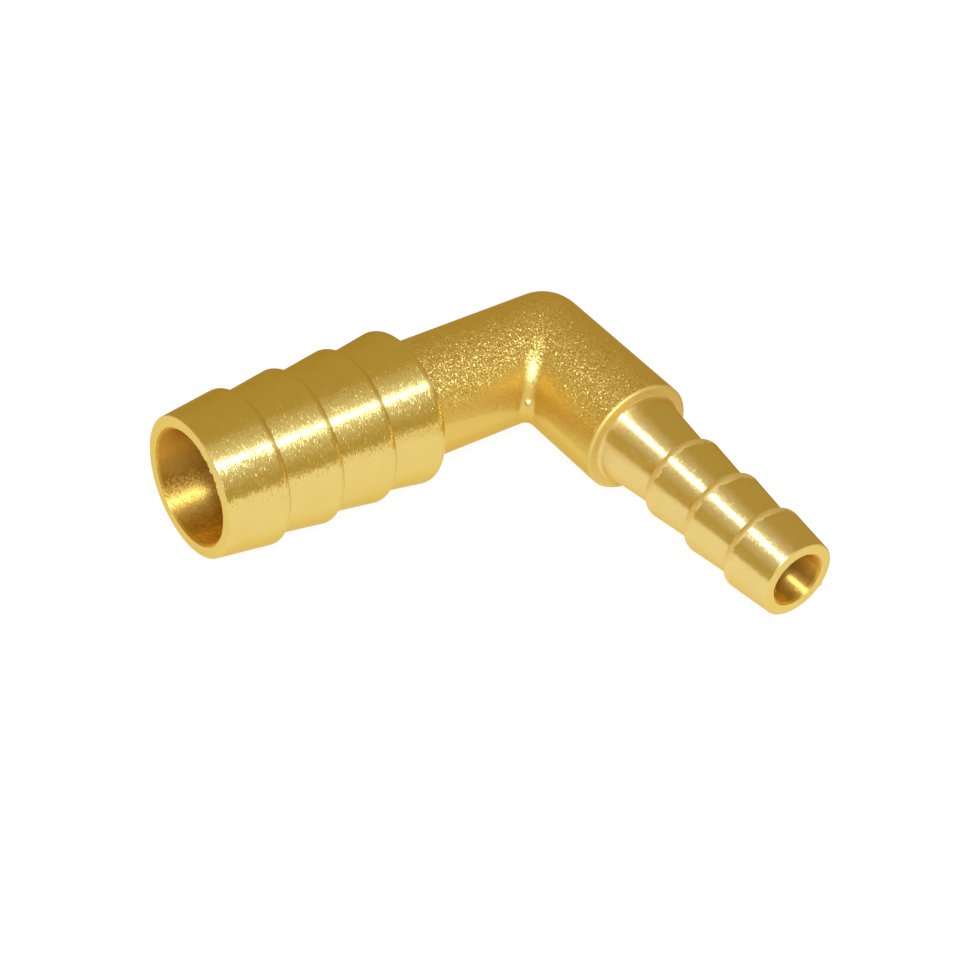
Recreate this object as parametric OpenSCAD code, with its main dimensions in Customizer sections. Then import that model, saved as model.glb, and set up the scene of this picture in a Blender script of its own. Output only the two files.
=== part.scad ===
// Reducing hose elbow, forged in brass with both hose ends turned and drilled.
// It is drawn with its axes crossing at the origin, the large hose end to the
// front (-Y) and the small one to the right (+X), and then laid down as it comes
// to rest: on its last large barb, the shoulder's edge and the first small barb.

/* [Body] */
// Outside diameter of the forged pipe
body_d = 15.4; // [15:0.1:16.5]
// From the crossing of the two axes to the shoulder before the small hose end
shoulder_l = 20.3; // [18:0.1:23]
// Radius of the outer corner, seen square on to the bend
outer_r = 6.8; // [6:0.1:7.5]
// Fillet in the inner corner, as a ball rolled along both pipes would leave it
crotch_r = 1.5; // [0.6:0.1:2.5]
// Rounding of the shoulder's edge
shoulder_round = 0.4; // [0.3:0.1:0.8]

/* [Large hose end] */
// From the crossing of the axes to the large mouth
large_l = 53.4; // [50:0.1:60]
// Number of barbs
large_barbs = 4; // [2:1:5]
// Length of the first barb, the one at the mouth
large_first_l = 8.55; // [6:0.05:9.5]
// Step from one barb to the next
large_pitch = 7.75; // [6:0.05:8.5]
// Length of the last barb, the one next to the body
large_last_l = 7.35; // [5:0.05:8.5]
// Diameter over the crests of the barbs
large_crest_d = 20.3; // [19.8:0.1:22]
// Diameter at the foot of each barb
large_root_d = 18.3; // [17.8:0.1:19]
// Diameter of the mouth's rim
large_tip_d = 18.4; // [17:0.1:19]
// Bore of the large hose end
large_bore_d = 14.9; // [12:0.1:15.5]
// Where that bore ends, short of the back of the last barb
large_bore_stop = 5.4; // [3:0.1:10]
// Passage drilled on from there, through the body to the corner
passage_d = 10.6; // [8:0.1:11.5]
// How far the passage runs past the crossing of the axes
passage_past = 1.5; // [0:0.1:2.5]

/* [Small hose end] */
// From the crossing of the axes to the small mouth
small_l = 51.1; // [48:0.1:58]
// Number of barbs
small_barbs = 3; // [2:1:3]
// Step from one barb to the next
small_pitch = 7.5; // [6:0.1:8]
// Diameter over the crests of the barbs
small_crest_d = 11.8; // [11.4:0.1:13]
// Diameter at the foot of each barb
small_root_d = 10.1; // [9.8:0.1:10.8]
// Diameter of the mouth's rim
small_tip_d = 10.4; // [9.6:0.1:11]
// Diameter of the neck where it meets the shoulder
neck_d = 12.1; // [11:0.1:12.6]
// Fillet between the neck and the shoulder
neck_fillet = 0.6; // [0.2:0.1:0.8]
// Bore of the small hose end, drilled through to the corner
small_bore_d = 7; // [5:0.1:8]

/* [Edges] */
// Rounding of the barbs' crests
crest_round = 0.45; // [0.1:0.05:0.5]
// Rounding of the mouths' outer edges
rim_round = 0.2; // [0.1:0.05:0.4]
// Chamfer inside both mouths
bore_chamfer = 0.25; // [0.1:0.05:0.5]

/* [Hidden] */
$fn = 96;
brass = "#c9a24a";
// Angle of the cone that a twist drill leaves
drill_angle = 118;
// Straight pieces to a quarter turn of an edge's rounding
round_steps = 4;
// The corner fillet: angle from the bend's plane where it fades out, rings and facets
web_reach = 78;
web_rings = 14;
web_facets = 4;
overcut = 1;

body_r = body_d / 2;
large_barb_l = large_first_l + (large_barbs - 2) * large_pitch + large_last_l;
large_back = large_l - large_barb_l;
small_back = small_l - small_barbs * small_pitch;
neck_slope = atan((neck_d - small_root_d) / 2 / (small_back - shoulder_l));

// At rest the small end droops until its first barb and the shoulder's edge touch
// the floor, and the large end lifts until its last barb's crest touches too.
first_crest = small_l - small_pitch + crest_round;
shoulder_edge = shoulder_l - shoulder_round;
last_crest = large_back + crest_round;
droop = atan((body_d - small_crest_d) / 2 / (first_crest - shoulder_edge));
axis_height = shoulder_edge * sin(droop) + body_r * cos(droop);
crest_arm = norm([last_crest, large_crest_d / 2]);
leg_rise = acos(axis_height / crest_arm) - atan2(last_crest, large_crest_d / 2);
lift = asin(sin(leg_rise) / cos(droop));

// Middle of the box around the part as it lies
right_end = small_l * cos(droop) + small_tip_d / 2 * sin(droop);
left_end = last_crest * sin(droop) * sin(lift) - large_crest_d / 2;
front_end = -large_l * cos(lift) - large_tip_d / 2 * sin(lift);
middle = [(left_end + right_end) / 2, (front_end + body_r) / 2];

// Points of an arc about [z, r] in a turned profile, where angle 0 points at the mouth
function arc(z, r, radius, from, to) =
    let (steps = max(1, ceil(abs(to - from) / 90 * round_steps)))
    [for (i = [0:steps]) let (a = from + (to - from) * i / steps)
        [r + radius * sin(a), z + radius * cos(a)]];

// Crest of a barb whose cone starts at foot [r, z]: a rounded edge, then the flat back
function crest(foot, back_z, crest_r) =
    let (
        r = crest_r - crest_round,
        z = back_z + crest_round,
        run = foot.y - z,
        rise = r - foot.x,
        slope = atan2(rise, run) + asin(crest_round / norm([run, rise]))
    )
    arc(z, r, crest_round, 90 - slope, 180);

// Barbs in order from the mouth: each starts at the root, the first at the rim
function barbs(l, count, first_l, pitch, last_l, tip_r, root_r, crest_r) =
    [for (i = [0:count - 1])
        let (
            start = i == 0 ? l : l - first_l - (i - 1) * pitch,
            foot = i == 0 ? [tip_r, l - rim_round] : [root_r, start],
            length = i == 0 ? first_l : i < count - 1 ? pitch : last_l,
            outline = crest(foot, start - length, crest_r)
        )
        each i == 0 ? outline : concat([foot], outline)];

// Flat face of a mouth, with its outer edge rounded
function mouth(l, tip_r) =
    concat([[0, l]], arc(l - rim_round, tip_r - rim_round, rim_round, 0, 90));

// Large hose end and the body's pipe, turned about +Z with the mouth on top
module large_leg() {
    profile = concat(
        mouth(large_l, large_tip_d / 2),
        barbs(large_l, large_barbs, large_first_l, large_pitch, large_last_l,
            large_tip_d / 2, large_root_d / 2, large_crest_d / 2),
        [[body_r, large_back], [body_r, 0], [0, 0]]
    );
    rotate_extrude() polygon(profile);
}

// Small hose end, its neck and shoulder, and the body's pipe, also about +Z
module small_leg() {
    fillet_r = neck_d / 2 - neck_fillet * tan(neck_slope) + neck_fillet / cos(neck_slope);
    profile = concat(
        mouth(small_l, small_tip_d / 2),
        barbs(small_l, small_barbs, small_pitch, small_pitch, small_pitch,
            small_tip_d / 2, small_root_d / 2, small_crest_d / 2),
        [[small_root_d / 2, small_back]],
        arc(shoulder_l + neck_fillet, fillet_r, neck_fillet, 270 - neck_slope, 180),
        arc(shoulder_l - shoulder_round, body_r - shoulder_round, shoulder_round, 0, 90),
        [[body_r, 0], [0, 0]]
    );
    rotate_extrude() polygon(profile);
}

// Outer corner: the two pipes mitred, and the mitre's edge rounded by the pipe's own
// section turned about a line just outside the crossing of the axes
module outer_corner() {
    offset = body_r - outer_r;
    intersection() {
        to_front() cylinder(r = body_r, h = 2 * body_r, center = true);
        to_right() cylinder(r = body_r, h = 2 * body_r, center = true);
        union() {
            translate([-body_r, -offset, -body_r]) cube([body_r, 2 * offset, body_d]);
            translate([-offset, 0, -body_r]) cube([2 * offset, body_r, body_d]);
            translate([-offset, offset, 0]) rotate(90) rotate_extrude(angle = 90)
                intersection() {
                    translate([-offset, 0]) circle(body_r);
                    translate([0, -body_r]) square([outer_r, body_d]);
                }
        }
    }
}

// Web that fillets the inner corner. A ball touching both pipes runs along an
// ellipse in the mitre plane, and each ring below is cut at one place of that ball.
module corner_fillet() {
    ball_arm = body_r + crotch_r;
    core_r = body_r - crotch_r;
    sink = 0.3;
    // Point of the ball's arc between its two contacts, at angle t from the bend's plane
    function ball_point(t, k) =
        let (
            centre = ball_arm * [cos(t), -cos(t), sin(t)],
            aim = [-(1 - k) * cos(t), k * cos(t), -sin(t)]
        )
        centre + crotch_r * aim / norm(aim);
    // One ring: the arc, with both ends carried on into the pipes, and a point in the core
    function ring(t) =
        let (arc_points = [for (i = [0:web_facets]) ball_point(t, i / web_facets)])
        concat(
            [arc_points[0] + sink * (arc_points[0] - arc_points[1])],
            [for (i = [1:web_facets - 1]) arc_points[i]],
            [arc_points[web_facets] + sink * (arc_points[web_facets] - arc_points[web_facets - 1])],
            [core_r * [cos(t), -cos(t), sin(t)]]
        );
    sides = web_facets + 2;
    points = [for (j = [0:web_rings - 1])
        each ring(web_reach * (2 * j / (web_rings - 1) - 1))];
    last = (web_rings - 1) * sides;
    ends = [[for (i = [0:sides - 1]) i], [for (i = [sides - 1:-1:0]) last + i]];
    walls = [for (j = [0:web_rings - 2]) for (i = [0:sides - 1])
        let (a = j * sides + i, b = j * sides + (i + 1) % sides)
        each [[a, a + sides, b], [b, a + sides, b + sides]]];
    polyhedron(points, concat(ends, walls));
}

// What is drilled from the large mouth: the bore, then the narrower passage
module large_drilling() {
    bore_r = large_bore_d / 2;
    passage_r = passage_d / 2;
    bore_end = large_back + large_bore_stop;
    profile = [
        [0, -passage_past - passage_r / tan(drill_angle / 2)],
        [passage_r, -passage_past],
        [passage_r, bore_end - (bore_r - passage_r) / tan(drill_angle / 2)],
        [bore_r, bore_end],
        [bore_r, large_l - bore_chamfer],
        [bore_r + bore_chamfer + overcut, large_l + overcut],
        [0, large_l + overcut]
    ];
    rotate_extrude() polygon(profile);
}

// What is drilled from the small mouth, down to the crossing of the axes
module small_drilling() {
    bore_r = small_bore_d / 2;
    profile = [
        [0, -bore_r / tan(drill_angle / 2)],
        [bore_r, 0],
        [bore_r, small_l - bore_chamfer],
        [bore_r + bore_chamfer + overcut, small_l + overcut],
        [0, small_l + overcut]
    ];
    rotate_extrude() polygon(profile);
}

module to_front() {
    rotate([90, 0, 0]) children();
}

module to_right() {
    rotate([0, 90, 0]) children();
}

module elbow() {
    color(brass)
        translate([-middle.x, -middle.y, axis_height])
            rotate([0, droop, 0])
                rotate([-lift, 0, 0])
                    difference() {
                        union() {
                            to_front() large_leg();
                            to_right() small_leg();
                            outer_corner();
                            corner_fillet();
                        }
                        to_front() large_drilling();
                        to_right() small_drilling();
                    }
}

elbow();
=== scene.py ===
import math

import bmesh
import bpy
from mathutils import Matrix, Vector, noise


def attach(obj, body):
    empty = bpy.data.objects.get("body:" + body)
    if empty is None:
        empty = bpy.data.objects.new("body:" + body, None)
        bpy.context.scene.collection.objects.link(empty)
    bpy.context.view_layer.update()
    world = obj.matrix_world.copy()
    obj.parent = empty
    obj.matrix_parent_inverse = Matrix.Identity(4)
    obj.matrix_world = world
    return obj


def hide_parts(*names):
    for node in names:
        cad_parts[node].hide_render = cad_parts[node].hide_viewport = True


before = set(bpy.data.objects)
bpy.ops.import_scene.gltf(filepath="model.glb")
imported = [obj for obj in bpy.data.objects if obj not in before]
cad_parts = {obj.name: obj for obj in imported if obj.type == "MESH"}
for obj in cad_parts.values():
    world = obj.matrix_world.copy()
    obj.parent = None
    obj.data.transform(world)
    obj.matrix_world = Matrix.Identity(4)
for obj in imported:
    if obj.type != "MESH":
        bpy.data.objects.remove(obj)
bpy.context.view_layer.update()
MM = 0.001

# The elbow and how it lies
# The elbow is one solid of brass, forged to a square bend, then turned and drilled at
# both ends. It lies on three points: the crest of its last large barb, the shoulder's
# edge and the first small barb. Sizes are in mm from the crossing of its two axes, with
# the large end along -Y and the small one along +X.
body_r = 7.7
large_mouth = 53.4
large_back = 22.0
large_crest_r = 10.15
large_tip_r = 9.2
small_mouth = 51.1
small_crest_r = 5.9
small_tip_r = 5.2
small_pitch = 7.5
shoulder = 20.3
shoulder_round = 0.4
crest_round = 0.45

first_crest = small_mouth - small_pitch + crest_round
shoulder_edge = shoulder - shoulder_round
last_crest = large_back + crest_round
droop = math.atan((body_r - small_crest_r) / (first_crest - shoulder_edge))
axis_height = shoulder_edge * math.sin(droop) + body_r * math.cos(droop)
crest_arm = math.hypot(last_crest, large_crest_r)
leg_rise = math.acos(axis_height / crest_arm) - math.atan2(last_crest, large_crest_r)
lift = math.asin(math.sin(leg_rise) / math.cos(droop))
right_end = small_mouth * math.cos(droop) + small_tip_r * math.sin(droop)
left_end = last_crest * math.sin(droop) * math.sin(lift) - large_crest_r
front_end = -large_mouth * math.cos(lift) - large_tip_r * math.sin(lift)
middle = Vector(((left_end + right_end) / 2, (front_end + body_r) / 2))

lay = (Matrix.Scale(MM, 4)
       @ Matrix.Translation((-middle.x, -middle.y, axis_height))
       @ Matrix.Rotation(droop, 4, "Y") @ Matrix.Rotation(-lift, 4, "X"))
# Each leg's own frame has Z along the bore towards the mouth
to_large = Matrix(((-1, 0, 0, 0), (0, 0, -1, 0), (0, 1, 0, 0), (0, 0, 0, 1)))
to_small = Matrix(((0, 0, 1, 0), (1, 0, 0, 0), (0, 1, 0, 0), (0, 0, 0, 1)))

# Turned hose ends
# Both ends are turned from the forging: cones that widen away from the mouth, each
# with a rounded crest and a flat back. One outline per kind of barb is drawn here,
# and Geometry Nodes turn it about the bore and repeat it along the leg.
FACETS = 240
# Lengths of the large barbs: the first, the two in the middle and the last
large_first = 8.55
large_pitch = 7.75
large_last = 7.35
large_root_r = 9.15
small_root_r = 5.05
neck_r = 6.05
neck_fillet = 0.6
rim_round = 0.2
# The crests are worn: rounder and a little lower than they were cut
large_round = 1.05
large_worn_r = 10.11
small_round = 1.15
small_worn_r = 5.84
# Rows before each small crest, where the band that is worn matt ends irregularly
WORN_ROWS = [1.08, 0.96, 0.84, 0.72, 0.6, 0.48, 0.36, 0.24, 0.12]


def add(tree, kind, settings=None, links=None):
    """Adds a node, sets it and feeds its inputs from values, sockets or nodes."""
    made = tree.nodes.new(kind)
    for key, value in (settings or {}).items():
        setattr(made, key, value)
    for key, source in (links or {}).items():
        if isinstance(source, bpy.types.Node):
            source = source.outputs[0]
        if isinstance(source, bpy.types.NodeSocket):
            tree.links.new(source, made.inputs[key])
        else:
            made.inputs[key].default_value = source
    return made


turning = bpy.data.node_groups.new("turned on a lathe", "GeometryNodeTree")
turning.interface.new_socket("Geometry", in_out="OUTPUT", socket_type="NodeSocketGeometry")
turning.interface.new_socket("Outline", in_out="INPUT", socket_type="NodeSocketGeometry")
turn_inputs = {}
for label, kind in (("Facets", "NodeSocketInt"), ("Copies", "NodeSocketInt"),
                    ("Pitch", "NodeSocketFloat"), ("Metal", "NodeSocketMaterial")):
    turn_inputs[label] = turning.interface.new_socket(
        label, in_out="INPUT", socket_type=kind).identifier
given = turning.nodes.new("NodeGroupInput").outputs
points = add(turning, "GeometryNodeAttributeDomainSize", None, {"Geometry": given["Outline"]})
columns = add(turning, "ShaderNodeMath", {"operation": "ADD"}, {0: given["Facets"], 1: 1.0})
sheet = add(turning, "GeometryNodeMeshGrid", None,
            {"Vertices X": points.outputs["Point Count"], "Vertices Y": columns})
index = add(turning, "GeometryNodeInputIndex")
ratio = add(turning, "ShaderNodeMath", {"operation": "DIVIDE"}, {0: index, 1: columns})
row = add(turning, "ShaderNodeMath", {"operation": "FLOOR"}, {0: ratio})
column = add(turning, "ShaderNodeMath", {"operation": "MODULO"}, {0: index, 1: columns})
turns = add(turning, "ShaderNodeMath", {"operation": "DIVIDE"}, {0: column, 1: given["Facets"]})
angle = add(turning, "ShaderNodeMath", {"operation": "MULTIPLY"}, {0: turns, 1: math.tau})
where = add(turning, "GeometryNodeInputPosition")
sampled = add(turning, "GeometryNodeSampleIndex", {"data_type": "FLOAT_VECTOR"},
              {"Geometry": given["Outline"], "Value": where, "Index": row})
outline_at = add(turning, "ShaderNodeSeparateXYZ", None, {0: sampled})
cosine = add(turning, "ShaderNodeMath", {"operation": "COSINE"}, {0: angle})
sine = add(turning, "ShaderNodeMath", {"operation": "SINE"}, {0: angle})
across = add(turning, "ShaderNodeMath", {"operation": "MULTIPLY"}, {0: outline_at, 1: cosine})
upward = add(turning, "ShaderNodeMath", {"operation": "MULTIPLY"}, {0: outline_at, 1: sine})
place = add(turning, "ShaderNodeCombineXYZ", None,
            {"X": across, "Y": upward, "Z": outline_at.outputs["Z"]})
turned = add(turning, "GeometryNodeSetPosition", None, {"Geometry": sheet, "Position": place})
step = add(turning, "ShaderNodeMath", {"operation": "MULTIPLY"}, {0: given["Pitch"], 1: -1.0})
offset = add(turning, "ShaderNodeCombineXYZ", None, {"Z": step})
spots = add(turning, "GeometryNodeMeshLine", None, {"Count": given["Copies"], "Offset": offset})
copies = add(turning, "GeometryNodeInstanceOnPoints", None, {"Points": spots, "Instance": turned})
real = add(turning, "GeometryNodeRealizeInstances", None, {"Geometry": copies})
merged = add(turning, "GeometryNodeMergeByDistance", None, {"Geometry": real, "Distance": 1e-4})
metal = add(turning, "GeometryNodeSetMaterial", None, {"Geometry": merged, "Material": given["Metal"]})
add(turning, "NodeGroupOutput", None, {0: metal})


def arc(z, r, radius, start, end, steps=6):
    """Points [r, z] of an arc about (z, r), where angle 0 points at the mouth."""
    angles = [math.radians(start + (end - start) * i / steps) for i in range(steps + 1)]
    return [(r + radius * math.sin(a), z + radius * math.cos(a)) for a in angles]


def barb(foot_r, foot_z, crest_r, back_z, next_r, edge, rows=()):
    """Outline of a barb from its foot to the foot of the next one, past its back."""
    r = crest_r - edge
    end = 180 - math.degrees(math.asin(max(0.0, next_r - r) / edge))
    z = back_z - edge * math.cos(math.radians(end))
    run, rise = foot_z - z, r - foot_r
    slope = math.degrees(math.atan2(rise, run) + math.asin(edge / math.hypot(run, rise)))
    crest = arc(z, r, edge, 90 - slope, end, 10)
    fall = math.tan(math.radians(slope))
    before = [(crest[0][0] - row * fall, crest[0][1] + row) for row in rows]
    back = [] if next_r > r else [(next_r, back_z)]
    return [(foot_r, foot_z)] + before + crest + back


def turn(outline, onto, metal_slot=None, copies=1, pitch=0.0):
    """Turns an outline of [r, z] points about a leg's bore and gives a mesh in mm."""
    line = bpy.data.meshes.new("outline")
    line.from_pydata([(r, 0, z) for r, z in outline],
                     [(i, i + 1) for i in range(len(outline) - 1)], [])
    holder = bpy.data.objects.new("outline", line)
    bpy.context.scene.collection.objects.link(holder)
    lathe = holder.modifiers.new("lathe", "NODES")
    lathe.node_group = turning
    lathe[turn_inputs["Facets"]] = FACETS
    lathe[turn_inputs["Copies"]] = copies
    lathe[turn_inputs["Pitch"]] = pitch
    lathe[turn_inputs["Metal"]] = metal_slot
    graph = bpy.context.evaluated_depsgraph_get()
    mesh = bpy.data.meshes.new_from_object(holder.evaluated_get(graph), depsgraph=graph)
    bpy.data.objects.remove(holder)
    bpy.data.meshes.remove(line)
    mesh.transform(onto)
    return mesh


def mouth(z, r):
    """Outline of a mouth's flat face, closed to the axis, with its edge rounded."""
    return [(0.0, z)] + arc(z - rim_round, r - rim_round, rim_round, 0, 90)


large_foot = large_mouth - large_first
last_foot = large_back + large_last
small_foot = small_mouth - small_pitch
small_back = small_mouth - 3 * small_pitch
neck_slope = math.degrees(math.atan((neck_r - small_root_r) / (small_back - shoulder)))
neck_fillet_r = (neck_r - neck_fillet * math.tan(math.radians(neck_slope))
                 + neck_fillet / math.cos(math.radians(neck_slope)))
neck = ([(small_root_r, small_back)]
        + arc(shoulder + neck_fillet, neck_fillet_r, neck_fillet, 270 - neck_slope, 180)
        + arc(shoulder - shoulder_round, body_r - shoulder_round, shoulder_round, 0, 90))
skin_parts = [
    turn(mouth(large_mouth, large_tip_r), to_large),
    turn(barb(large_tip_r, large_mouth - rim_round, large_worn_r, large_foot, large_root_r,
              large_round), to_large),
    turn(barb(large_root_r, large_foot, large_worn_r, large_foot - large_pitch, large_root_r,
              large_round), to_large, copies=2, pitch=large_pitch),
    turn(barb(large_root_r, last_foot, large_worn_r, large_back, body_r, large_round), to_large),
    turn(mouth(small_mouth, small_tip_r), to_small),
    turn(barb(small_tip_r, small_mouth - rim_round, small_worn_r, small_foot, small_root_r,
              small_round, WORN_ROWS), to_small),
    turn(barb(small_root_r, small_foot, small_worn_r, small_foot - small_pitch, small_root_r,
              small_round, WORN_ROWS), to_small, copies=2, pitch=small_pitch),
    turn(neck, to_small),
]

# Forged body
# The body stays as it was forged and blasted: one pipe with a square bend, its outer
# corner rounded and its inner corner filleted as a ball rolled along both pipes
# leaves it. Each line along the pipe runs straight, turns the corner and runs on.
outer_r = 6.8
crotch_r = 1.5
# The inner fillet's radius grows by this towards the top, where the die is open
crotch_widening = 2.4
CORNER_ROWS = 12
STRAIGHT_ROWS = 44
# The fillet fades in over this reach from the line between both corners, which has a
# small rounding of its own
blend_reach = 1.6
blend_setback = 0.5


def corner_line(phi):
    """Points of one line round the bend, at angle phi about the pipe from its outside."""
    c, s = math.cos(phi), math.sin(phi)
    reach = body_r * c
    fillet_r = crotch_r + (crotch_widening * s * s if s > 0 else 0.0)
    exact = max(reach - (body_r - outer_r), 0.0) if c > 0 else fillet_r * -c
    weight = min(1.0, abs(reach) / blend_reach)
    weight = weight * weight * (3 - 2 * weight)
    setback = math.hypot(exact, blend_setback * (1 - weight))
    line = []
    for i in range(CORNER_ROWS + 1):
        k = i / CORNER_ROWS
        turned_by = k * math.pi / 2
        x = -(reach - setback) - setback * math.cos(turned_by)
        y = reach - setback + setback * math.sin(turned_by)
        point = Vector((x, y, body_r * s))
        if c < 0:
            arm = body_r + fillet_r
            centre = Vector((-arm * c, arm * c, arm * s))
            aim = Vector(((1 - k) * c, -k * c, -s)).normalized()
            point = point.lerp(centre + fillet_r * aim, weight)
        line.append(point)
    return line


def pipe_line(phi):
    """A whole line along the body, from the large end's last barb to the shoulder."""
    bend = corner_line(phi)
    start = Vector((bend[0].x, -large_back, bend[0].z))
    end = Vector((shoulder_edge, bend[-1].y, bend[-1].z))
    before = [start.lerp(bend[0], i / STRAIGHT_ROWS) for i in range(STRAIGHT_ROWS)]
    after = [bend[-1].lerp(end, (i + 1) / STRAIGHT_ROWS) for i in range(STRAIGHT_ROWS)]
    return before + bend + after


lines = [pipe_line(math.tau * i / FACETS) for i in range(FACETS)]
rows = len(lines[0])
body_faces = []
for i in range(FACETS):
    for j in range(rows - 1):
        a, b = i * rows + j, (i + 1) % FACETS * rows + j
        body_faces.append((a, b, b + 1, a + 1))
body_skin = bpy.data.meshes.new("body")
body_skin.from_pydata([p for line in lines for p in line], [], body_faces)
skin_parts.append(body_skin)

shell = bmesh.new()
for part in skin_parts:
    shell.from_mesh(part)
bmesh.ops.remove_doubles(shell, verts=shell.verts, dist=1e-3)
bmesh.ops.recalc_face_normals(shell, faces=shell.faces)
blank_mesh = bpy.data.meshes.new("blank")
shell.to_mesh(blank_mesh)
shell.free()
blank = bpy.data.objects.new("elbow_brass", blank_mesh)
bpy.context.scene.collection.objects.link(blank)

# Bores
# The large bore stops in a drill's cone before the body, a narrower passage goes on
# to the corner, and the small bore is drilled through to meet it.
large_bore_r = 7.45
large_bore_end = 27.4
passage_r = 5.3
passage_end = -1.5
small_bore_r = 3.5
bore_chamfer = 0.25
overcut = 1.0
# Depth of a drill's point for each mm of its radius: half its angle is 59 degrees
point_depth = 1 / math.tan(math.radians(59))

large_drill = turn([
    (0.0, passage_end - passage_r * point_depth), (passage_r, passage_end),
    (passage_r, large_bore_end - (large_bore_r - passage_r) * point_depth),
    (large_bore_r, large_bore_end), (large_bore_r, large_mouth - bore_chamfer),
    (large_bore_r + bore_chamfer + overcut, large_mouth + overcut), (0.0, large_mouth + overcut),
], to_large)
small_drill = turn([
    (0.0, -small_bore_r * point_depth), (small_bore_r, 0.0),
    (small_bore_r, small_mouth - bore_chamfer),
    (small_bore_r + bore_chamfer + overcut, small_mouth + overcut), (0.0, small_mouth + overcut),
], to_small)
for name, drill in (("large drill", large_drill), ("small drill", small_drill)):
    cutter = bmesh.new()
    cutter.from_mesh(drill)
    bmesh.ops.remove_doubles(cutter, verts=cutter.verts, dist=1e-4)
    bmesh.ops.recalc_face_normals(cutter, faces=cutter.faces)
    cutter.to_mesh(drill)
    cutter.free()
    tool = bpy.data.objects.new(name, drill)
    bpy.context.scene.collection.objects.link(tool)
    cut = blank.modifiers.new(name, "BOOLEAN")
    cut.operation = "DIFFERENCE"
    cut.solver = "EXACT"
    cut.object = tool
graph = bpy.context.evaluated_depsgraph_get()
elbow_mesh = bpy.data.meshes.new_from_object(blank.evaluated_get(graph), depsgraph=graph)
for name in ("large drill", "small drill", "elbow_brass"):
    bpy.data.objects.remove(bpy.data.objects[name])
# The cuts leave doubled points along the mouths, where facets of both shapes meet
joined = bmesh.new()
joined.from_mesh(elbow_mesh)
bmesh.ops.remove_doubles(joined, verts=joined.verts, dist=1e-4)
joined.to_mesh(elbow_mesh)
joined.free()
elbow = bpy.data.objects.new("elbow_brass", elbow_mesh)
bpy.context.scene.collection.objects.link(elbow)

# Small marks of the making: beads of burr along the large bore's edge, a burr on the
# small rim, and what is left of the flash in the inner corner. Heights and distances
# are in mm, bearings round a bore and their spreads in degrees.
edge_near = 0.3
bead_bearing, bead_spread, bead_height = 50, 24, 0.22
rim_near = 0.25
burr_bearing, burr_spread, burr_height = 213, 2.5, 0.3
flash_at = Vector((8.14, -8.14, 0.4))
flash_near, flash_spread, flash_height = 1.2, 0.42, 0.55
out_of_corner = Vector((1, -1, 0)).normalized()
for vertex in elbow_mesh.vertices:
    at = vertex.co
    if at.y < edge_near - large_mouth and math.hypot(at.x, at.z) < large_bore_r + edge_near:
        bearing = math.degrees(math.atan2(at.z, at.x))
        fade = math.exp(-((bearing - bead_bearing) / bead_spread) ** 4)
        bead = fade * max(0.0, 0.3 + noise.noise(at * 2.2)) * bead_height
        inward = Vector((-at.x, 0, -at.z)).normalized()
        vertex.co = at + inward * bead + Vector((0, -0.5 * bead, 0))
    if at.x > small_mouth - rim_near and math.hypot(at.y, at.z) > small_tip_r - rim_near:
        bearing = math.degrees(math.atan2(at.z, -at.y)) % 360
        outward = Vector((0, at.y, at.z)).normalized()
        fade = math.exp(-((bearing - burr_bearing) / burr_spread) ** 2)
        vertex.co = at + outward * burr_height * fade
    away = (at - flash_at).length
    if away < flash_near and at.z > -1:
        vertex.co = at + out_of_corner * flash_height * math.exp(-(away / flash_spread) ** 2)


# Finishes
# One alloy, with the surfaces that its making leaves: turned bright on the cones and the
# large crests, with fine rings round the legs; forged and blasted to a grain that
# glitters on the body; satin, without a direction, on the rims, the shoulder and the
# small crests; and drilled, more roughly, in the bores.
def linear(hex_colour):
    """Linear RGBA of an sRGB hex colour."""
    out = []
    for i in (1, 3, 5):
        c = int(hex_colour[i:i + 2], 16) / 255
        out.append(c / 12.92 if c <= 0.04045 else ((c + 0.055) / 1.055) ** 2.4)
    return (*out, 1.0)


BRASS = "#eed27c"
BRASS_DEEP = "#e6c86c"
# Brass stays yellow where it is seen at a glancing angle
EDGE_TINT = "#ecd8a8"


def leg_frame(tree, onto):
    """Object coordinates turned into a leg's own frame, in mm, Z along the bore. The
    large leg's frame is mirrored, which a Mapping's rotation can't hold, so X is left
    the other way round there."""
    back = (lay @ onto).inverted()
    turned_back = back.to_3x3() * MM
    if turned_back.determinant() < 0:
        turned_back = Matrix(((-1, 0, 0), (0, 1, 0), (0, 0, 1))) @ turned_back
    coords = add(tree, "ShaderNodeTexCoord")
    shift = Vector(back.translation)
    if onto is to_large:
        shift.x = -shift.x
    return add(tree, "ShaderNodeMapping", None, {
        "Vector": coords.outputs["Object"], "Location": shift,
        "Rotation": turned_back.to_euler(), "Scale": (1 / MM, 1 / MM, 1 / MM)})


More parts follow.
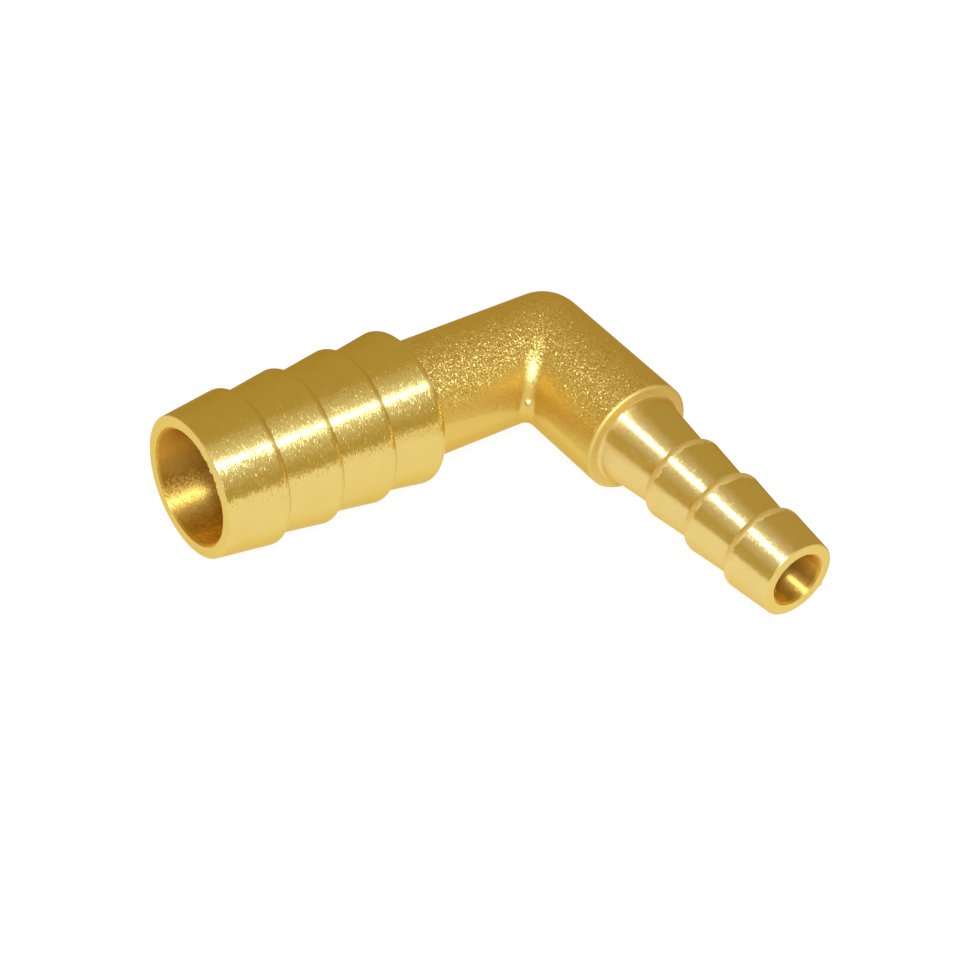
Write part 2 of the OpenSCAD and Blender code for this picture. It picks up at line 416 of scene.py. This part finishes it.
def turned_brass(name, onto, rough, lean, stroke_mm, colours=(BRASS_DEEP, BRASS),
                 spread=1.0, edge_tint=EDGE_TINT):
    """Brass turned on a lathe: fine rings round the leg spread light along it. They are
    broken into short strokes, most nearly true and some leaning well to either side,
    so that a lamp's streak keeps a clear core and breaks up at its edges."""
    material = bpy.data.materials.new(name)
    material.use_nodes = True
    tree = material.node_tree
    shader = tree.nodes["Principled BSDF"]
    shader.inputs["Metallic"].default_value = 1.0
    shader.inputs["Specular Tint"].default_value = linear(edge_tint)
    shader.inputs["Anisotropic"].default_value = spread
    shader.inputs["Anisotropic Rotation"].default_value = 0.25
    rings = add(tree, "ShaderNodeTangent", {"direction_type": "UV_MAP", "uv_map": "rings"})
    tree.links.new(rings.outputs[0], shader.inputs["Tangent"])
    # The leg's frame is in mm, so scales of noise on it count patches per mm
    leg = leg_frame(tree, onto)
    stain = add(tree, "ShaderNodeTexNoise", None,
                {"Vector": leg, "Scale": 0.35, "Detail": 4.0, "Roughness": 0.6})
    tone = add(tree, "ShaderNodeMix", {"data_type": "RGBA"},
               {0: stain, 6: linear(colours[0]), 7: linear(colours[1])})
    tree.links.new(tone.outputs[2], shader.inputs["Base Color"])
    length, width = stroke_mm
    stroke_at = add(tree, "ShaderNodeMapping", None, {
        "Vector": leg, "Scale": (1 / length, 1 / length, 1 / width)})
    strokes = add(tree, "ShaderNodeTexNoise", None,
                  {"Vector": stroke_at, "Scale": 1.0, "Detail": 2.0, "Roughness": 0.6})
    roughness = add(tree, "ShaderNodeMapRange", None,
                    {"Value": strokes, "From Min": 0.4, "From Max": 0.6,
                     "To Min": rough[0], "To Max": rough[1]})
    patch = add(tree, "ShaderNodeTexNoise", None,
                {"Vector": leg, "Scale": 0.7, "Detail": 2.0})
    amount = add(tree, "ShaderNodeMapRange", None,
                 {"Value": patch, "From Min": 0.35, "From Max": 0.65,
                  "To Min": lean * 0.6, "To Max": lean * 1.3})
    tree.links.new(roughness.outputs[0], shader.inputs["Roughness"])
    # A stroke's lean grows with its noise and far more with the cube of it, so that most
    # strokes run nearly true
    centred = add(tree, "ShaderNodeMath", {"operation": "SUBTRACT"}, {0: strokes, 1: 0.5})
    squared = add(tree, "ShaderNodeMath", {"operation": "MULTIPLY"}, {0: centred, 1: centred})
    grown = add(tree, "ShaderNodeMath", {"operation": "MULTIPLY_ADD"},
                {0: squared, 1: 24.0, 2: 0.2})
    grown = add(tree, "ShaderNodeMath", {"operation": "MULTIPLY"}, {0: grown, 1: centred})
    leaning = add(tree, "ShaderNodeMath", {"operation": "MULTIPLY"}, {0: grown, 1: amount})
    normal = add(tree, "ShaderNodeNewGeometry").outputs["Normal"]
    bore_line = (lay @ onto).to_3x3().col[2].normalized()
    around = add(tree, "ShaderNodeVectorMath", {"operation": "CROSS_PRODUCT"},
                 {0: bore_line, 1: normal})
    sideways = add(tree, "ShaderNodeVectorMath", {"operation": "SCALE"},
                   {0: around, "Scale": leaning})
    tipped = add(tree, "ShaderNodeVectorMath", {"operation": "ADD"}, {0: normal, 1: sideways})
    facing = add(tree, "ShaderNodeVectorMath", {"operation": "NORMALIZE"}, {0: tipped})
    tree.links.new(facing.outputs[0], shader.inputs["Normal"])
    return material


def blasted_brass(name):
    """Forged brass blasted with grit: matt, with grains of about a quarter of a
    millimetre that each catch the light, over a gentle unevenness from the die."""
    material = bpy.data.materials.new(name)
    material.use_nodes = True
    tree = material.node_tree
    shader = tree.nodes["Principled BSDF"]
    shader.inputs["Metallic"].default_value = 1.0
    shader.inputs["Specular Tint"].default_value = linear(EDGE_TINT)
    coords = add(tree, "ShaderNodeTexCoord").outputs["Object"]
    normal = add(tree, "ShaderNodeNewGeometry")
    grains = add(tree, "ShaderNodeTexNoise", None, {
        "Vector": coords, "Scale": 1 / (0.24 * MM), "Detail": 2.0, "Roughness": 0.6})
    swell = add(tree, "ShaderNodeTexNoise", None,
                {"Vector": coords, "Scale": 1 / (2.5 * MM), "Detail": 2.0})
    tone = add(tree, "ShaderNodeMix", {"data_type": "RGBA"},
               {0: grains, 6: linear("#dfbb5c"), 7: linear("#e8c76a")})
    tree.links.new(tone.outputs[2], shader.inputs["Base Color"])
    bend = leg_frame(tree, Matrix.Identity(4))
    bend_at = add(tree, "ShaderNodeSeparateXYZ", None, {0: bend})
    x_at, y_at, z_at = (bend_at.outputs[axis] for axis in "XYZ")
    along_large = add(tree, "ShaderNodeMath", {"operation": "MULTIPLY"}, {0: y_at, 1: -1.0})
    # Grit hardly reached the sides, least of all at the corner: there the grains lean less
    out_from = add(tree, "ShaderNodeMath", {"operation": "MAXIMUM"}, {0: x_at, 1: along_large})
    reached = add(tree, "ShaderNodeMapRange", None,
                  {"Value": out_from, "From Min": 8.5, "From Max": 17.0,
                   "To Min": 5.2, "To Max": 3.4})
    height = add(tree, "ShaderNodeMath", {"operation": "ABSOLUTE"}, {0: z_at})
    height = add(tree, "ShaderNodeMath", {"operation": "SUBTRACT"}, {0: height, 1: reached})
    wildness = add(tree, "ShaderNodeMapRange", None,
                   {"Value": height, "From Min": -0.8, "From Max": 0.6,
                    "To Min": 0.3, "To Max": 1.0})
    # The flash was ground off along the side, in a smooth strip that widens towards
    # the large end
    strip_edge = add(tree, "ShaderNodeMath", {"operation": "MULTIPLY_ADD"},
                     {0: along_large, 1: 0.13, 2: -1.0})
    below_edge = add(tree, "ShaderNodeMath", {"operation": "SUBTRACT"}, {0: strip_edge, 1: z_at})
    ground = add(tree, "ShaderNodeMapRange", None,
                 {"Value": below_edge, "From Min": -0.1, "From Max": 0.1})
    above_foot = add(tree, "ShaderNodeMapRange", None,
                     {"Value": z_at, "From Min": -1.8, "From Max": -1.4})
    ground = add(tree, "ShaderNodeMath", {"operation": "MULTIPLY"}, {0: ground, 1: above_foot})
    roughness = add(tree, "ShaderNodeMapRange", None,
                    {"Value": ground, "To Min": 0.46, "To Max": 0.3})
    tree.links.new(roughness.outputs[0], shader.inputs["Roughness"])
    unground = add(tree, "ShaderNodeMath", {"operation": "SUBTRACT"}, {0: 1.0, 1: ground})
    wildness = add(tree, "ShaderNodeMath", {"operation": "MULTIPLY"}, {0: wildness, 1: unground})
    # Most grains lean a little and some lean a lot
    centred = add(tree, "ShaderNodeVectorMath", {"operation": "SUBTRACT"},
                  {0: grains.outputs["Color"], 1: (0.5, 0.5, 0.5)})
    spots = add(tree, "ShaderNodeTexNoise", None, {
        "Vector": coords, "Scale": 1 / (0.45 * MM), "Detail": 1.0})
    lean = add(tree, "ShaderNodeMapRange", None,
               {"Value": spots, "From Min": 0.4, "From Max": 0.65,
                "To Min": 1.4, "To Max": 3.0})
    lean = add(tree, "ShaderNodeMath", {"operation": "MULTIPLY"}, {0: lean, 1: wildness})
    leaning = add(tree, "ShaderNodeVectorMath", {"operation": "SCALE"},
                  {0: centred, "Scale": lean})
    tipped = add(tree, "ShaderNodeVectorMath", {"operation": "ADD"},
                 {0: normal.outputs["Normal"], 1: leaning})
    facets = add(tree, "ShaderNodeVectorMath", {"operation": "NORMALIZE"}, {0: tipped})
    uneven = add(tree, "ShaderNodeBump", None,
                 {"Height": swell, "Strength": 1.0, "Distance": 0.05 * MM, "Normal": facets})
    tree.links.new(uneven.outputs[0], shader.inputs["Normal"])
    return material


# The bores' brass is painted deeper and brighter than the outside's: painted light that stands in for
# the light going back and forth in a bore
BORE_PAINTED_LIGHT = ("#f1be4c", "#fbcc5c")
PALE = ("#eccf7a", "#f4d88c")
# A worn crest is paler at a glancing angle than the cones beside it
WORN_EDGE = "#fbf0d2"
elbow_mesh.materials.clear()
for material in (
    # Cones of the large end, cut with a coarser feed: strokes half a millimetre long
    turned_brass("turned brass, large end", to_large, (0.22, 0.28), 0.8, (0.5, 0.08)),
    # Skin of the forging, blasted clean and left so
    blasted_brass("forged and blasted brass"),
    # Cones of the small end, cut finer and a little paler
    turned_brass("turned brass, small end", to_small, (0.29, 0.35), 0.55, (0.4, 0.06), PALE),
    # Walls that a drill leaves: rough, and scored in places, in the bores' colour painted to stand in
    # for their light
    turned_brass("drilled brass, large bore", to_large, (0.36, 0.9), 0.6, (0.35, 0.12), BORE_PAINTED_LIGHT),
    turned_brass("drilled brass, small bore", to_small, (0.36, 0.8), 0.4, (0.3, 0.12), BORE_PAINTED_LIGHT),
    # Mouths faced flat to an even satin
    turned_brass("faced brass, large rim", to_large, (0.3, 0.36), 0.1, (0.8, 0.2), spread=0.0),
    turned_brass("faced brass, small rim", to_small, (0.3, 0.36), 0.1, (0.8, 0.2), spread=0.0),
    # Crests worn by rubbing: matt on the small end, still bright on the large one
    turned_brass("matt brass, worn small crests", to_small, (0.5, 0.58), 0.1, (0.8, 0.2),
                 PALE, spread=0.0, edge_tint=WORN_EDGE),
    turned_brass("turned brass, worn large crests", to_large, (0.22, 0.28), 0.4, (0.5, 0.08),
                 edge_tint=WORN_EDGE),
    # Face of the shoulder, where the body's skin was cut through
    turned_brass("satin brass, shoulder", to_small, (0.6, 0.68), 0.1, (0.8, 0.2), spread=0.0),
):
    elbow_mesh.materials.append(material)
(LARGE_TURNED, BLASTED, SMALL_TURNED, LARGE_BORE, SMALL_BORE, LARGE_FACED, SMALL_FACED,
 SMALL_CREST, LARGE_CREST, SHOULDER) = range(10)

# Each face takes its finish from where it lies. Both kinds of crest are bands before the
# barbs' backs, and the small ones end irregularly. Small margins, of 0.01 to 0.1 mm, let
# the faces that lie on a limit count.
small_backs = [small_mouth - (i + 1) * small_pitch for i in range(3)]
large_backs = [large_foot - i * large_pitch for i in range(3)] + [large_back]
large_band = 0.7
small_band, small_band_varies, small_band_patch = 1.45, 0.6, 1 / 1.1
rim_depth = 0.1
stub_reach = 0.6
# The small bore's wall begins this far inside the passage's, where the two drills met
bores_meet = 1.5
for face in elbow_mesh.polygons:
    at = face.center
    from_large_axis = math.hypot(at.x, at.z)
    from_small_axis = math.hypot(at.y, at.z)
    in_small_bore = (from_small_axis < small_bore_r + bore_chamfer and at.x > 0
                     and from_large_axis > passage_r - bores_meet)
    in_large_bore = (from_large_axis < large_bore_r + bore_chamfer and at.y < passage_r
                     and (from_large_axis < passage_r + 0.1 or at.y < -large_back))
    if in_small_bore:
        face.material_index = SMALL_BORE
    elif in_large_bore:
        face.material_index = LARGE_BORE
    elif at.y < rim_depth - large_mouth:
        face.material_index = LARGE_FACED
    elif at.x > small_mouth - rim_depth or (at - flash_at).length < stub_reach:
        face.material_index = SMALL_FACED
    elif shoulder_edge < at.x < shoulder + 0.05:
        face.material_index = SHOULDER
    elif at.y < -large_back + 0.01:
        before_back = min(-at.y - back for back in large_backs if back < 0.01 - at.y)
        face.material_index = LARGE_CREST if before_back < large_band else LARGE_TURNED
    elif at.x > shoulder_edge:
        before_back = min((at.x - back for back in small_backs if at.x > back), default=99.0)
        band = small_band + small_band_varies * noise.noise(at / small_band_patch)
        face.material_index = SMALL_CREST if before_back < band else SMALL_TURNED
    else:
        face.material_index = BLASTED

# The map "rings" runs round the leg along U, so that the finish knows which way the
# lathe's rings lie. V counts the radius too, so that flat faces get an area on the map.
rings_v_mm = 50
rings_v_radius = 0.37
rings = elbow_mesh.uv_layers.new(name="rings")
for face in elbow_mesh.polygons:
    on_small = face.material_index in (
        SMALL_TURNED, SMALL_BORE, SMALL_FACED, SMALL_CREST, SHOULDER)
    middle_at = face.center
    heading = (math.atan2(middle_at.z, middle_at.y) if on_small
               else math.atan2(middle_at.z, -middle_at.x))
    for loop in face.loop_indices:
        at = elbow_mesh.vertices[elbow_mesh.loops[loop].vertex_index].co
        side, along = (at.y, at.x) if on_small else (-at.x, -at.y)
        bearing = math.atan2(at.z, side)
        bearing -= math.tau * round((bearing - heading) / math.tau)
        v = (along - rings_v_radius * math.hypot(side, at.z)) / rings_v_mm
        rings.data[loop].uv = (bearing / math.tau, v)
elbow_mesh.transform(lay)
elbow_mesh.polygons.foreach_set("use_smooth", [True] * len(elbow_mesh.polygons))
elbow_mesh.set_sharp_from_angle(angle=math.radians(32))
elbow_mesh.update()
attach(elbow, "root")
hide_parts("elbow")

# Table, light and camera
# A wide white table in a room of one even, warm tone. A small lamp above the camera sits
# within softer and softer ones, so that it draws one streak along each leg, with a
# glow on both sides of it.
ROOM = "#beae79"
LAMP = "#b4caff"
table_half = 1.5
# How bright the paper is of itself, the share of that which brass mirrors, and how much
# of the light that falls on it the paper sends back
paper_glow = 0.92
paper_mirrored = 0.93
paper_grey = 0.15
table_mesh = bpy.data.meshes.new("table")
table_mesh.from_pydata([(-table_half, -table_half, 0), (table_half, -table_half, 0),
                        (table_half, table_half, 0), (-table_half, table_half, 0)],
                       [], [(0, 1, 2, 3)])
table = bpy.data.objects.new("table", table_mesh)
bpy.context.scene.collection.objects.link(table)
paper = bpy.data.materials.new("white paper")
paper.use_nodes = True
tree = paper.node_tree
tree.nodes.clear()
rays = add(tree, "ShaderNodeLightPath")
# Brass mirrors the paper a little darker than the camera sees it
mirrored = add(tree, "ShaderNodeMath", {"operation": "MULTIPLY"},
               {0: rays.outputs["Is Glossy Ray"], 1: paper_mirrored})
seen = add(tree, "ShaderNodeMath", {"operation": "MAXIMUM"},
           {0: rays.outputs["Is Camera Ray"], 1: mirrored})
strength = add(tree, "ShaderNodeMath", {"operation": "MULTIPLY"}, {0: seen, 1: paper_glow})
lit = add(tree, "ShaderNodeBsdfDiffuse", None,
          {"Color": (paper_grey, paper_grey, paper_grey, 1.0)})
glow = add(tree, "ShaderNodeEmission", None, {"Strength": strength})
both = add(tree, "ShaderNodeAddShader", None, {0: lit, 1: glow})
add(tree, "ShaderNodeOutputMaterial", None, {"Surface": both})
table_mesh.materials.append(paper)

# A card on the table behind the elbow, out of the camera's sight, glows in the room's tone and is seen
# only in reflections: a painted reflection that keeps the elbow's far edges from mirroring white. It
# is cut out to leave the paper round the elbow bare.
card_height = 0.2 * MM
card_outline = [(-1.0, -0.028), (-0.042, -0.028), (-0.042, 0.038),
                (0.045, 0.038), (0.045, 1.0), (-1.0, 1.0)]
card_mesh = bpy.data.meshes.new("card behind")
card_mesh.from_pydata([(x, y, card_height) for x, y in card_outline],
                      [], [(0, 1, 2, 3, 4, 5)])
card = bpy.data.objects.new("card behind", card_mesh)
bpy.context.scene.collection.objects.link(card)
card_glow = bpy.data.materials.new("card glowing in the room tone")
card_glow.use_nodes = True
card_glow.node_tree.nodes.clear()
# The card's glow is a painted reflection: it is no lamp, lights nothing diffusely and casts no shadow,
# and only the brass mirrors it
shine = add(card_glow.node_tree, "ShaderNodeEmission", None,
            {"Color": linear(ROOM), "Strength": 1.0})
add(card_glow.node_tree, "ShaderNodeOutputMaterial", None, {"Surface": shine})
card_mesh.materials.append(card_glow)
card.visible_camera = False
card.visible_diffuse = False
card.visible_shadow = False

scene = bpy.context.scene
scene.view_settings.view_transform = "Standard"
room = bpy.data.worlds.new("room")
room.use_nodes = True
room.node_tree.nodes["Background"].inputs["Color"].default_value = linear(ROOM)
room.node_tree.nodes["Background"].inputs["Strength"].default_value = 1.0
scene.world = room

lamp_distance = 0.6
to_lamps = Vector((0.507, -0.338, 0.792)).normalized()
for name, size, watts in (
    ("lamp", 0.052, 2.9),
    ("soft box round it", 0.11, 1.9),
    ("glow round that", 0.42, 1.0),
    ("faint glow", 0.9, 1.8),
):
    lamp_data = bpy.data.lights.new(name, "AREA")
    lamp_data.shape = "DISK"
    lamp_data.size = size
    lamp_data.energy = watts
    lamp_data.color = linear(LAMP)[:3]
    lamp = bpy.data.objects.new(name, lamp_data)
    lamp.location = to_lamps * lamp_distance
    lamp.rotation_euler = to_lamps.to_track_quat("Z", "Y").to_euler()
    scene.collection.objects.link(lamp)

# The camera looks down at the elbow from in front of its inner corner. Distance and
# shift are in mm, along the camera's own axes.
azimuth = math.radians(53.5076)
elevation = math.radians(38.2322)
roll = math.radians(0.4239)
distance = 347.812
shift = (-1.3849, 9.2388)
camera_data = bpy.data.cameras.new("camera")
camera_data.sensor_width = 36.0
camera_data.lens = 105.6
camera_data.clip_start = 0.01
camera = bpy.data.objects.new("camera", camera_data)
camera.matrix_world = (Matrix.Rotation(azimuth, 4, "Z")
                       @ Matrix.Rotation(math.pi / 2 - elevation, 4, "X")
                       @ Matrix.Rotation(roll, 4, "Z")
                       @ Matrix.Translation(Vector((*shift, distance)) * MM))
scene.collection.objects.link(camera)
scene.camera = camera
